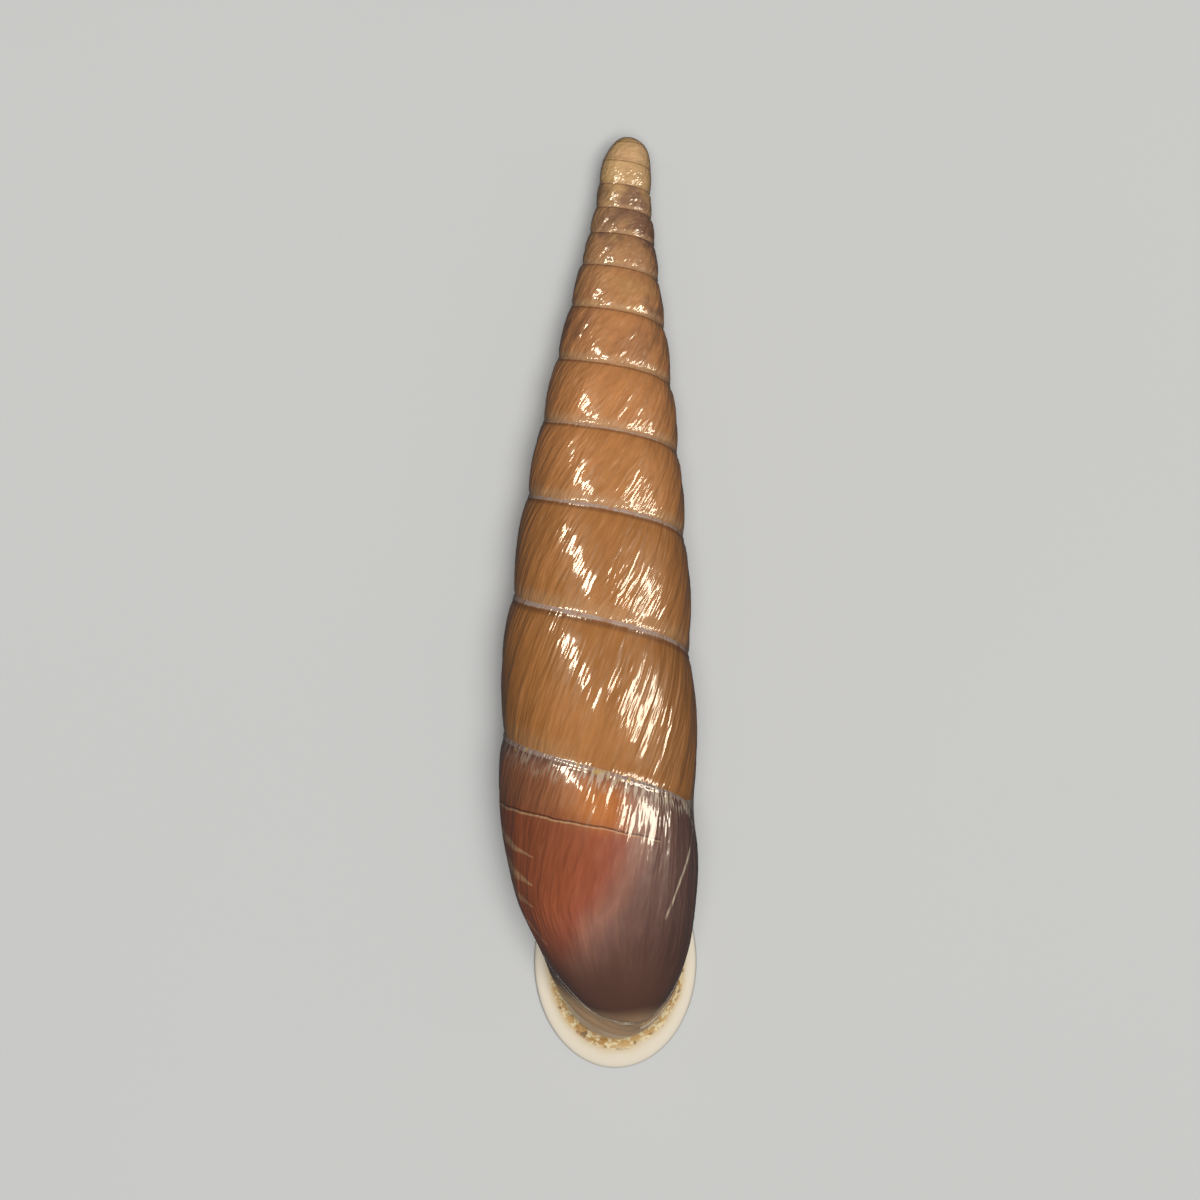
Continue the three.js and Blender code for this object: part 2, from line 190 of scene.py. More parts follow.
def curve(table, x, column):
    """A smooth curve through a table's points."""
    x = np.asarray(x, float)
    keys, values = table[:, 0], table[:, column]
    i = np.clip(np.searchsorted(keys, x, side="left") - 1, 0, len(keys) - 2)
    slopes = np.empty(len(keys))
    slopes[1:-1] = (values[2:] - values[:-2]) / (keys[2:] - keys[:-2])
    slopes[0] = (values[1] - values[0]) / (keys[1] - keys[0])
    slopes[-1] = (values[-1] - values[-2]) / (keys[-1] - keys[-2])
    span = keys[i + 1] - keys[i]
    s = np.clip((x - keys[i]) / span, 0, 1)
    level = values[i] + (values[i + 1] - values[i]) * ease(s)
    out = s * (1 - s) ** 2 * span * slopes[i]
    return level + out + s * s * (s - 1) * span * slopes[i + 1]


def ease(s):
    return s * s * (3 - 2 * s)


def mix(a, b, s):
    return a + (b - a) * s


def axis_offset(drop):
    """How far the coiling axis lies towards +X."""
    start, length, reach, power = BEND_ABOVE
    above = reach * np.maximum(0, (start - drop) / length) ** power
    start, length, reach, power = BEND_BELOW
    return above + reach * np.maximum(0, (drop - start) / length) ** power


def around(turn, radius, drop):
    angle = 2 * math.pi * np.asarray(turn, float)
    radius, drop = np.asarray(radius, float), np.asarray(drop, float)
    x = axis_offset(drop) + radius * np.cos(angle)
    return np.stack(np.broadcast_arrays(x, -drop, -radius * np.sin(angle)), axis=-1)


def laid(p):
    c, s = math.cos(REST_TILT), math.sin(REST_TILT)
    x, y, z = p[..., 0], p[..., 1], p[..., 2]
    return np.stack((x, y * c + z * s, z * c - y * s), axis=-1)


def swelling(v):
    peak = SHOULDER / (1 + SHOULDER)
    return v**SHOULDER * (1 - v) / (peak**SHOULDER * (1 - peak))


def wall_at(turn, v, thread=0.0):
    """[radius, drop] on the wall between the suture above (v = 0) and the one below (v = 1)."""
    turn, v = np.broadcast_arrays(np.asarray(turn, float), np.asarray(v, float))
    on_tip = turn < SUTURE[0, 0]
    top_r = np.where(on_tip, 0, curve(SUTURE, turn, 2))
    top_d = np.where(on_tip, TIP_DROP, curve(SUTURE, turn, 1))
    along_r = curve(SUTURE, turn + 1, 2) - top_r
    along_d = curve(SUTURE, turn + 1, 1) - top_d
    out = WHORL_BULGE * swelling(v)
    if thread:
        length = np.maximum(np.hypot(along_r, along_d), 0.1)
        size = np.minimum(1, length / 3.5)
        out = out + thread * size * np.exp(-(((v - THREAD_AT) / THREAD_WIDTH) ** 2)) / length
    return top_r + along_r * v + along_d * out, top_d + along_d * v - along_r * out


def base_at(turn, v):
    """[radius, drop] on the base of a last whorl, from the wall's foot (v = 0) to the axis."""
    foot = np.array(wall_at(turn, 1.0))
    before = np.array(wall_at(turn, 0.98))
    tip = float(curve(BASE_TIP, turn, 1))
    heading = (foot - before) / np.linalg.norm(foot - before)
    handles = (
        foot,
        foot + heading * BASE_REACH,
        np.array((foot[0] * BASE_FULLNESS, tip)),
        np.array((0, tip)),
    )
    w = ((1 - v) ** 3, 3 * v * (1 - v) ** 2, 3 * v * v * (1 - v), v**3)
    return sum(k * h[0] for k, h in zip(w, handles)), sum(k * h[1] for k, h in zip(w, handles))


class Surface:
    """A closed surface in the shell's own coordinates. Each point has how far along the growth
    its rib lies and how strong the ribs are there; each face corner has the turn, across, growth
    and zone that the material reads."""

    def __init__(self):
        self.points, self.ribs = [], []
        self.faces, self.marks = [], []

    def add(self, points, growth=0.0, strength=0.0):
        points = np.atleast_2d(points)
        first = len(self.points)
        self.points.extend(points)
        self.ribs.extend(np.broadcast_to(
            np.stack(np.broadcast_arrays(growth, strength), -1), (len(points), 2)))
        return list(range(first, first + len(points)))

    def face(self, *corners):
        """Corners are (point, mark) pairs."""
        if len({c[0] for c in corners}) == 3:
            self.faces.append([c[0] for c in corners])
            self.marks.append([c[1] for c in corners])

    def band(self, left, right):
        """The band between two lines of (point, mark) pairs, of any two lengths."""
        i = j = 0
        while i < len(left) - 1 or j < len(right) - 1:
            left_next = j == len(right) - 1 or (
                i < len(left) - 1
                and (i + 1) * (len(right) - 1) <= (j + 1) * (len(left) - 1))
            if left_next:
                self.face(left[i], left[i + 1], right[j])
                i += 1
            else:
                self.face(left[i], right[j + 1], right[j])
                j += 1

    def tube(self, ring, following):
        self.band(ring + ring[:1], following + following[:1])

    def lid(self, ring, up):
        outline = [Vector((self.points[k][0], self.points[k][1])) for k, _ in ring]
        for a, b, c in tessellate_polygon([[Vector((p.x, p.y, 0)) for p in outline]]):
            u, w = outline[b] - outline[a], outline[c] - outline[a]
            if (u.x * w.y - u.y * w.x > 0) == up:
                self.face(ring[a], ring[b], ring[c])
            else:
                self.face(ring[a], ring[c], ring[b])

    def cone(self, ring, tip, mark):
        top = (self.add(tip)[0], mark)
        for k, corner in enumerate(ring):
            self.face(corner, ring[(k + 1) % len(ring)], top)

    def object(self, name):
        mesh = bpy.data.meshes.new(name)
        points = laid(np.array(self.points)) * MM
        mesh.from_pydata(points.tolist(), [], self.faces)
        ribs = np.array(self.ribs, np.float32)
        for column, attribute in enumerate(("rib_growth", "rib_strength")):
            values = mesh.attributes.new(attribute, "FLOAT", "POINT")
            values.data.foreach_set("value", np.ascontiguousarray(ribs[:, column]))
        marks = np.array(self.marks, np.float32).reshape(-1, 4)
        for column, attribute in enumerate(("turn", "across", "growth", "zone")):
            values = mesh.attributes.new(attribute, "FLOAT", "CORNER")
            values.data.foreach_set("value", np.ascontiguousarray(marks[:, column]))
        piece = bpy.data.objects.new(name, mesh)
        bpy.context.scene.collection.objects.link(piece)
        return piece


# How far the lip of the mouth had come at a turn, in millimetres along the growth
GROWTH_TURNS = np.linspace(FIRST_TURN, 0.5, 2000)
GROWTH = np.concatenate(([0], np.cumsum(
    2 * math.pi * np.maximum(0.3, curve(SUTURE, GROWTH_TURNS[1:], 2)) * np.diff(GROWTH_TURNS))))


def growth_at(turn):
    return np.interp(turn, GROWTH_TURNS, GROWTH)


def whorls():
    """The whorls from the tip to just past turn 0, as a closed surface."""
    surface = Surface()
    tip = surface.add(around(0, 0, TIP_DROP))[0]
    count = round((LAST_TURN - FIRST_TURN) * COLUMNS_PER_TURN)
    after = COLUMNS_PER_TURN - RIB_LEAN_COLUMNS
    lean = RIB_LEAN_COLUMNS / COLUMNS_PER_TURN
    lines, feet, feet_turns = [], [], []
    for i in range(count + 1):
        turn = FIRST_TURN + i / COLUMNS_PER_TURN
        rows = np.array(TIP_ROWS if turn < TIP_ROWS_END else WHORL_ROWS)
        upright = ease(min(1, max(0, (turn - UPRIGHT_SINCE) / -UPRIGHT_SINCE)))
        turns = turn - lean * (1 - upright) * rows
        radius, drop = wall_at(turns, rows, THREAD_RISE)
        growth = growth_at(turn)
        strength = np.minimum(1, (rows - 0.04) / 0.08).clip(0)
        if i < count - after:
            strength = np.minimum(strength, (1 - rows) / 0.06)
        strength = strength * ease(min(1, max(0, (turn - RIBS_SINCE) / RIBS_GROWN_IN)))
        ids = surface.add(around(turns, radius, drop), growth, strength)
        above = tip if i < after else feet[i - after]
        line = [(above, (turn, 0, growth, 0))]
        line += [(k, (t, v, growth, 0)) for k, t, v in zip(ids, turns, rows)]
        lines.append(line)
        feet.append(ids[-1])
        feet_turns.append(turns[-1])
    for i in range(count):
        following = lines[i + 1]
        if i == after - 1:
            following = [(k, (t, 0, g, 0)) for k, (t, _, g, _) in lines[0]] + following[1:]
        surface.band(lines[i], following)

    bases, tips = [], {}
    v = np.arange(1, BASE_ROWS) / BASE_ROWS
    for i in range(count - after, count + 1):
        turn, growth = feet_turns[i], growth_at(FIRST_TURN + i / COLUMNS_PER_TURN)
        strength = np.clip(1.3 - 2.4 * v, 0, 1)
        ids = surface.add(around(turn, *base_at(turn, v)), growth, strength)
        step = (i - count) // AXIS_COLUMNS if i > count - after else -after // AXIS_COLUMNS - 1
        if step not in tips:
            tips[step] = surface.add(around(turn, *base_at(turn, np.array([1.0]))), growth, 0)[0]
        base = [(feet[i], (turn, 1, growth, 0))]
        base += [(k, (turn, 1 + w, growth, 0)) for k, w in zip(ids, v)]
        bases.append(base + [(tips[step], (turn, 2, growth, 0))])
    for one, following in zip(bases, bases[1:]):
        surface.band(one, following)
    outer = lines[-1] + bases[-1][1:]
    axis = []
    for base in reversed(bases):
        if not axis or axis[-1][0] != base[-1][0]:
            axis.append(base[-1])
    inner = bases[0][::-1]
    surface.lid(outer + axis[1:-1] + inner[:-1], False)
    return surface


def neck_start():
    """Where the neck starts, as a closed line in the plane of turn 0: its points and the
    directions round the mouth that they lead to. It runs under the outer side of the last whorl,
    round the base and up the far side, and back inside the shell."""
    def lay(turn, spots, at):
        return around(turn, *at(turn, np.asarray(spots, float)))

    parts = (
        (np.vstack((lay(-1, [0.88, 0.96], wall_at), lay(0, np.linspace(0.04, 1, 60), wall_at))),
         TO_SUTURE, TO_FOOT),
        (lay(0, np.linspace(0, 1, 60), base_at), TO_FOOT, TO_BASE_TIP),
        (lay(-0.5, np.linspace(1, 0.3, 50), base_at), TO_BASE_TIP, TO_FAR_SIDE),
        (np.vstack((lay(-0.5, [0.3], base_at), NECK_INSIDE, lay(-1, [0.88], wall_at))),
         TO_FAR_SIDE, TO_SUTURE - 360),
    )
    points, headings = [], []
    for line, first, last in parts:
        steps = np.linalg.norm(np.diff(line, axis=0), axis=1)
        run = np.concatenate(([0], np.cumsum(steps))) / steps.sum()
        inset = NECK_MIDDLE - line
        inset *= NECK_INSET / np.linalg.norm(inset, axis=1, keepdims=True)
        line = line + inset
        line[:, 2] = NECK_INSET
        points.append(line[:-1])
        headings.append(mix(first, last, run[:-1]))
    return np.vstack(points), np.concatenate(headings)


def on_line(line, directions):
    """The points of such a line that lead to the directions."""
    points = np.vstack((line[0], line[0][:1]))
    headings = np.append(line[1], line[1][0] - 360)
    d = TO_SUTURE - np.mod(TO_SUTURE - np.asarray(directions, float), 360)
    return np.stack([np.interp(-d, -headings, points[:, k]) for k in range(3)], axis=-1)


def mouth_at(direction, share, height, floor):
    """A point round the mouth, at a share of the way from throat to lip and a height over the
    floor."""
    direction = np.asarray(direction, float)
    angle = np.radians(direction)
    c, s = np.cos(angle), np.sin(angle)
    turned = np.mod(direction - CORNER["at"] + 540, 360) - 180
    reach = 1 + CORNER["out"] / LIP["top"] * np.exp(-((turned / CORNER["width"]) ** 2))
    size = {key: mix(THROAT[key], LIP[key], share) for key in LIP}
    x = size["x"] + size["side"] * c * reach
    y = np.where(s > 0, size["top"], size["base"]) * s * reach - size["drop"]
    flat = laid(np.stack((x, y, np.zeros_like(x)), axis=-1))
    return np.stack((x, y, (floor + height - flat[..., 2]) / math.cos(REST_TILT)), axis=-1)


def sweep(start, end, leave, arrive, s):
    reach = np.linalg.norm(end - start, axis=-1, keepdims=True)
    return (mix(start, end, ease(s)) + leave * reach * s * (1 - s) ** 2
            + arrive * reach * s * s * (s - 1))


RING = TO_SUTURE - 360 * np.arange(RING_SIDES) / RING_SIDES


def smooth_path(points, per_step):
    """A line through the points, rounded at each."""
    keys = np.arange(len(points), dtype=float)
    table = np.column_stack((keys, points))
    x = np.linspace(0, len(points) - 1, (len(points) - 1) * per_step + 1)
    return np.stack((curve(table, x, 1), curve(table, x, 2)), axis=-1)


def neck(floor):
    """The neck from the last whorl down to the floor, with the lip's back and flat front, as a
    closed surface."""
    surface = Surface()
    line = neck_start()
    across = 3 + (TO_SUTURE - RING) / 360
    rings = []

    def ring(points, turn, growth, strength, zone):
        ids = surface.add(points, growth, strength)
        rings.append([(k, (turn, a, growth, zone)) for k, a in zip(ids, across)])

    end = mouth_at(RING, *LIP_BACK[0], floor)
    start = on_line(line, RING)
    shifts = range(-NECK_EASE_SPAN, NECK_EASE_SPAN + 1)
    soft_start = sum(np.roll(start, n, axis=0) for n in shifts) / len(shifts)
    for k in range(NECK_STEPS):
        s = k / NECK_STEPS
        eased = mix(start, soft_start, ease(min(1, s / NECK_EASED)))
        points = sweep(eased, end, ALONG_WHORL, TO_FLOOR, s)
        ring(points, NECK_TURN * s, growth_at(0) + NECK_GROWTH * s, 1 - 0.3 * s, max(0.02, s))
    for n, (share, height) in enumerate(smooth_path(LIP_BACK[:8], 4)):
        ring(mouth_at(RING, share, max(height, 0.02), floor), NECK_TURN,
             growth_at(0) + NECK_GROWTH + 0.07 * n, max(0, 0.7 - share), 1 + min(1, max(0, share)))
    for share in (0.86, 0.7, 0.5, 0.3):
        ring(mouth_at(RING, share, 0, floor), NECK_TURN, growth_at(0) + 8, 0, 2 + (1 - share))
    surface.lid(rings[0], True)
    for one, following in zip(rings, rings[1:]):
        surface.tube(one, following)
    surface.lid(rings[-1], False)
    return surface


def hollow_at(turn, direction):
    radius, drop, across, along = (curve(HOLLOW, turn, column) for column in (1, 2, 3, 4))
    angle = np.radians(direction)
    return around(turn, radius + across * np.cos(angle), drop - along * np.sin(angle))


def throat_at(direction, way, floor):
    start = mouth_at(direction, *LIP_INSIDE[-1], floor)
    return sweep(start, hollow_at(0, direction), -TO_FLOOR, -ALONG_WHORL, way)


def hollow(floor):
    """What is taken away: the mouth, the throat and the hollow of the last half whorl."""
    surface = Surface()
    ring = RING[::2]
    rings = []

    def add(points, zone):
        rings.append([(k, (NECK_TURN, INSIDE, 0, zone)) for k in surface.add(points)])

    for share, height in smooth_path(LIP_INSIDE, 4):
        add(mouth_at(ring, share, height, floor), 3 - share)
    for way in np.linspace(0, 1, THROAT_STEPS + 1)[1:-1]:
        add(throat_at(ring, way, floor), 3.4 + 0.6 * way)
    for turn in np.linspace(0, HOLLOW[0, 0], HOLLOW_STEPS + 1):
        add(hollow_at(turn, ring), 4 - turn)
    surface.lid(rings[0], False)
    for one, following in zip(rings, rings[1:]):
        surface.tube(following, one)
    turn, radius, drop = HOLLOW[0, :3]
    surface.cone(rings[-1][::-1], around(turn - 0.04, radius, drop - 0.2), (NECK_TURN, INSIDE, 0, 4.7))
    return surface


def fold(shape, floor):
    """A raised fold that runs along the throat's wall and fades at both ends."""
    surface = Surface()
    mark = (NECK_TURN, INSIDE, 0, 3.6)
    (d0, w0), (d1, w1) = shape["start"], shape["end"]
    rings = []

    def wall_point(s):
        return throat_at(mix(d0, d1, s), mix(w0, w1, s), floor)

    for k in range(FOLD_STEPS + 1):
        s = k / FOLD_STEPS
        p = wall_point(s)
        ahead = wall_point(s + 0.01) - p
        ahead /= np.linalg.norm(ahead)
        inward = sum(throat_at(d, mix(w0, w1, s), floor) for d in (0, 90, 180, 270)) / 4 - p
        inward -= ahead * inward.dot(ahead)
        inward /= np.linalg.norm(inward)
        aside = np.cross(ahead, inward)
        rise = shape["height"] * math.sin(math.pi * mix(0.03, 0.97, s)) ** 0.7
        # across the fold: aside, as a share of its thickness, and up from the wall
        section = smooth_path(np.array([
            (-0.75, -FOLD_ROOT), (-0.45, rise * 0.55), (-0.3, rise * 0.93), (0, rise),
            (0.3, rise * 0.93), (0.45, rise * 0.55), (0.75, -FOLD_ROOT),
        ]), 2)
        points = [p + aside * a * shape["thickness"] + inward * up for a, up in section]
        rings.append([(n, mark) for n in surface.add(np.array(points))])
    for one, following in zip(rings, rings[1:]):
        surface.tube(one, following)
    surface.cone(rings[0][::-1], wall_point(0), mark)
    surface.cone(rings[-1], wall_point(1), mark)
    return surface


def evaluated(piece):
    """A plain mesh of the object with its modifiers done; the object is removed."""
    mesh = bpy.data.meshes.new_from_object(piece.evaluated_get(bpy.context.evaluated_depsgraph_get()))
    bpy.data.objects.remove(piece)
    return mesh


def places(mesh):
    values = np.empty(len(mesh.vertices) * 3)
    mesh.vertices.foreach_get("co", values)
    return values.reshape(-1, 3)


def corner_values(mesh, name):
    values = np.empty(len(mesh.loops))
    mesh.attributes[name].data.foreach_get("value", values)
    return values


def seam_nearness(mesh, width):
    """For each point, 1 on the line where the neck leaves the last whorl, falling to 0."""
    zone = corner_values(mesh, "zone")
    corners = np.empty(len(mesh.loops), int)
    mesh.loops.foreach_get("vertex_index", corners)
    points = len(mesh.vertices)
    on_spire = np.bincount(corners[zone < 0.01], minlength=points) > 0
    on_neck = np.bincount(corners[(zone > 0.01) & (zone < 1)], minlength=points) > 0
    inside = np.bincount(corners[zone > 1], minlength=points) > 0
    where = places(mesh)
    seam = np.flatnonzero(on_spire & on_neck)
    tree = KDTree(len(seam))
    for n, k in enumerate(seam):
        tree.insert(where[k], n)
    tree.balance()
    near = np.zeros(points)
    close = np.flatnonzero((where[:, 1] < where[seam, 1].max() + width) & ~inside)
    far = np.array([tree.find(where[k])[2] for k in close])
    near[close] = ease(np.clip(1 - far / width, 0, 1))
    return near


def smoothed(where, edges, share, rounds):
    """The points eased towards their neighbours and back out, which rounds small creases but
    keeps the large form."""
    count = np.bincount(edges.ravel(), minlength=len(where))
    share = (share / np.maximum(count, 1))[:, None]
    one, other = edges.T
    for pull in [0.5] * 30 + [0.5, -0.52] * rounds:
        drawn = np.stack([np.bincount(one, where[other, k] - where[one, k], len(where))
                          + np.bincount(other, where[one, k] - where[other, k], len(where))
                          for k in range(3)], axis=-1)
        where = where + pull * share * drawn
    return where


def smooth_out(mesh, share, rounds):
    edges = np.empty(len(mesh.edges) * 2, int)
    mesh.edges.foreach_get("vertices", edges)
    edges = edges.reshape(-1, 2)
    edges = edges[(share[edges] > 0).any(axis=1)]
    where = smoothed(places(mesh) / MM, edges, share, rounds) * MM
    mesh.vertices.foreach_set("co", where.ravel())


def round_cap(piece):
    """Rounds the cap of the first whorl, at the tip."""
    along = places(piece.data)[:, 1] / MM
    smooth_out(piece.data, ease(np.clip(1 - (along.max() - along) / CAP_LENGTH, 0, 1)), CAP_ROUNDS)


def blend_seam(piece):
    """Rounds the line where the neck leaves the last whorl and lets the ribs fade out there."""
    close = np.flatnonzero(seam_nearness(piece.data, NECK_SEAM_WIDTH * MM) > 0)
    grid = bmesh.new()
    grid.from_mesh(piece.data)
    grid.verts.ensure_lookup_table()
    bmesh.ops.remove_doubles(grid, verts=[grid.verts[k] for k in close], dist=SEAM_MERGE * MM)
    zone, across = (grid.loops.layers.float[n] for n in ("zone", "across"))
    base_end = min((v.co for v in grid.verts
                    if any(c[zone] < 0.01 and c[across] > 1.85 for c in v.link_loops)),
                   key=lambda place: place.y).copy()
    round_end = [v for v in grid.verts if (v.co - base_end).length < BASE_END_REACH * MM]
    bmesh.ops.remove_doubles(grid, verts=round_end, dist=BASE_END_MERGE * MM)
    grid.to_mesh(piece.data)
    grid.free()
    near = seam_nearness(piece.data, NECK_SEAM_WIDTH * MM)
    smooth_out(piece.data, near, SEAM_ROUNDS)
    strength = np.empty(len(near))
    data = piece.data.attributes["rib_strength"].data
    data.foreach_get("value", strength)
    data.foreach_set("value", (strength * (1 - near)).astype(np.float32))


def grown_shell():
    """The whorls, the neck and the folds joined and hollowed, set where the CAD solid lies."""
    spire = whorls()
    floor = laid(np.array(spire.points))[:, 2].min() + WORN_FLAT
    piece = spire.object("spire")
    tools = [(neck(floor), "UNION"), (hollow(floor), "DIFFERENCE")]
    tools += [(fold(shape, floor), "UNION") for shape in FOLDS]
    helpers = []
    for surface, operation in tools:
        helper = surface.object("helper")
        helpers.append(helper)
        joint = piece.modifiers.new("joint", "BOOLEAN")
        joint.operation = operation
        joint.object = helper
        joint.solver = "MANIFOLD"
    mesh = evaluated(piece)
    for helper in helpers:
        bpy.data.objects.remove(helper)
    low, high = cad_box
    where = places(mesh)
    shift = (np.array(low) + np.array(high)) / 2 - (where.min(0) + where.max(0)) / 2
    shift[2] = low[2] - floor * MM
    where = where + shift
    mesh.vertices.foreach_set("co", where.ravel())
    return mesh


def keep_on_floor(mesh):
    """Flattens the spot that the shell rests on, by lifting what lies under the floor."""
    where = places(mesh)
    where[:, 2] = np.maximum(where[:, 2], cad_box[0][2])
    mesh.vertices.foreach_set("co", where.ravel())
    mesh.update()


# Node helpers

def put(tree, kind, values=None, **settings):
    """A node with its settings; values go to inputs by name or number, and sockets are linked."""
    made = tree.nodes.new(kind)
    for key, value in settings.items():
        setattr(made, key, value)
    for key, value in (values or {}).items():
        if isinstance(value, bpy.types.NodeSocket):
            tree.links.new(value, made.inputs[key])
        else:
            made.inputs[key].default_value = value
    return made


def maths(tree, operation, *values):
    return put(tree, "ShaderNodeMath", dict(enumerate(values)), operation=operation).outputs[0]


def ramp_between(tree, value, low, high, to_low=0.0, to_high=1.0):
    made = put(tree, "ShaderNodeMapRange", interpolation_type="SMOOTHSTEP")
    for key, v in (("Value", value), ("From Min", low), ("From Max", high),
                   ("To Min", to_low), ("To Max", to_high)):
        if isinstance(v, bpy.types.NodeSocket):
            tree.links.new(v, made.inputs[key])
        else:
            made.inputs[key].default_value = v
    return made.outputs["Result"]


def linear(red, green, blue):
    def one(c):
        c /= 255
        return c / 12.92 if c <= 0.04045 else ((c + 0.055) / 1.055) ** 2.4

    return (one(red), one(green), one(blue), 1)


def colour_mix(tree, share, under, over, blend="MIX"):
    made = put(tree, "ShaderNodeMix", data_type="RGBA", blend_type=blend)
    for socket, value in ((made.inputs[0], share), (made.inputs[6], under), (made.inputs[7], over)):
        if isinstance(value, bpy.types.NodeSocket):
            tree.links.new(value, socket)
        else:
            socket.default_value = value
    return made.outputs[2]


def colour_ramp(tree, value, stops):
    made = put(tree, "ShaderNodeValToRGB", {"Fac": value})
    elements = made.color_ramp.elements
    while len(elements) < len(stops):
        elements.new(0.5)
    for element, (at, rgb) in zip(elements, stops):
        element.position = at
        element.color = linear(*rgb)
    return made.outputs["Color"]


def growth_ribs():
    """Raises the fine growth ribs: each follows the line where the lip once was."""
    tree = bpy.data.node_groups.new("growth ribs", "GeometryNodeTree")
    tree.interface.new_socket("Geometry", in_out="INPUT", socket_type="NodeSocketGeometry")
    for name, value in (("Rib height", 0.00003), ("Rib spacing", 0.3), ("Seed", 3.0)):
        socket = tree.interface.new_socket(name, in_out="INPUT", socket_type="NodeSocketFloat")
        socket.default_value = value
    tree.interface.new_socket("Geometry", in_out="OUTPUT", socket_type="NodeSocketGeometry")
    given = put(tree, "NodeGroupInput").outputs
    growth = put(tree, "GeometryNodeInputNamedAttribute", {"Name": "rib_growth"}).outputs["Attribute"]
    strength = put(tree, "GeometryNodeInputNamedAttribute", {"Name": "rib_strength"})
    strength = strength.outputs["Attribute"]
    along = maths(tree, "ADD", maths(tree, "DIVIDE", growth, given["Rib spacing"]),
                  maths(tree, "MULTIPLY", given["Seed"], 100.0))
    fine = put(tree, "ShaderNodeTexNoise", {"W": along, "Scale": 0.5, "Detail": 1.5},
               noise_dimensions="1D").outputs[0]
    coarse = put(tree, "ShaderNodeTexNoise", {"W": along, "Scale": 0.09, "Detail": 1.0},
                 noise_dimensions="1D").outputs[0]
    ridge = ramp_between(tree, fine, 0.36, 0.66)
    level = maths(tree, "ADD", ridge, maths(tree, "MULTIPLY", coarse, 1.3))
    rise = maths(tree, "MULTIPLY", maths(tree, "MULTIPLY", level, strength), given["Rib height"])
    normal = put(tree, "GeometryNodeInputNormal").outputs["Normal"]
    offset = put(tree, "ShaderNodeVectorMath", {0: normal, "Scale": rise}, operation="SCALE")
    moved = put(tree, "GeometryNodeSetPosition",
                {"Geometry": given["Geometry"], "Offset": offset.outputs["Vector"]})
    put(tree, "NodeGroupOutput", {"Geometry": moved.outputs["Geometry"]})
    return tree


def streak():
    """A group: how near a point of the growth lies to a short line on it, which thins towards its
    end."""
    tree = bpy.data.node_groups.new("streak", "ShaderNodeTree")
    for name, kind in (("Turn", "Float"), ("Across", "Float"), ("Start", "Vector"),
                       ("End", "Vector"), ("Half width", "Float"), ("Thinning", "Float")):
        tree.interface.new_socket(name, in_out="INPUT", socket_type="NodeSocket" + kind)
    tree.interface.new_socket("Mask", in_out="OUTPUT", socket_type="NodeSocketFloat")
    given = put(tree, "NodeGroupInput").outputs
    at = put(tree, "ShaderNodeCombineXYZ", {0: given["Turn"], 1: given["Across"]}).outputs[0]

    def vector(operation, *values, out="Vector"):
        return put(tree, "ShaderNodeVectorMath", dict(enumerate(values)),
                   operation=operation).outputs[out]

    size = (24.0, 6.0, 0.0)
    along = vector("MULTIPLY", vector("SUBTRACT", given["End"], given["Start"]), size)
    there = vector("MULTIPLY", vector("SUBTRACT", at, given["Start"]), size)
    way = maths(tree, "DIVIDE", vector("DOT_PRODUCT", there, along, out="Value"),
                vector("DOT_PRODUCT", along, along, out="Value"))
    way = put(tree, "ShaderNodeClamp", {"Value": way}).outputs[0]
    foot = put(tree, "ShaderNodeVectorMath", {0: along, "Scale": way}, operation="SCALE").outputs[0]
    far = vector("LENGTH", vector("SUBTRACT", there, foot), out="Value")
    width = maths(tree, "MULTIPLY", given["Half width"],
                  maths(tree, "SUBTRACT", 1.0, maths(tree, "MULTIPLY", given["Thinning"], way)))
    mask = ramp_between(tree, maths(tree, "DIVIDE", far, width), 0.3, 1.0, 1.0, 0.0)
    put(tree, "NodeGroupOutput", {"Mask": mask})
    return tree


# Colours of the spire by age, from the tip to the last whorl
SPIRE_COLOURS = (
    (0.0, (216, 168, 124)), (0.1, (216, 174, 122)), (0.2, (206, 162, 110)),
    (0.3, (190, 142, 98)), (0.42, (184, 132, 88)), (0.52, (194, 132, 82)),
    (0.65, (198, 132, 78)), (0.78, (188, 124, 68)), (0.9, (174, 114, 60)),
)
# Colours across the last whorl, from -X to +X: by the suture, and below. The pale pinkish violet stops
# towards +X are partly the shell's violet-brown and partly painted sheen
ORANGE_BROWNS = (
    (0.0, (146, 92, 64)), (0.2, (176, 108, 62)), (0.42, (204, 124, 62)), (0.62, (196, 116, 60)),
    (0.8, (158, 112, 92)), (1.0, (106, 74, 66)),
)
RED_BROWNS = (
    (0.0, (150, 82, 52)), (0.3, (168, 90, 58)), (0.5, (162, 88, 64)), (0.68, (156, 108, 90)),
    (0.8, (124, 89, 78)), (1.0, (104, 75, 67)),
)
VIOLET_BROWN = (96, 66, 55)
NECK_TAN = (212, 172, 130)
# Colours from the start of the neck over the lip and into the mouth
MOUTH_COLOURS = (
    (0.0, (96, 66, 55)), (0.06, (108, 76, 61)), (0.12, (160, 120, 90)), (0.17, (206, 164, 116)),
    (0.215, (212, 164, 98)), (0.26, (218, 180, 122)), (0.29, (228, 210, 178)),
    (0.32, (233, 221, 199)), (0.58, (236, 228, 212)), (0.68, (206, 176, 150)),
    (0.8, (150, 110, 92)), (1.0, (96, 66, 56)),
)
MOUTH_ZONES = 5.0
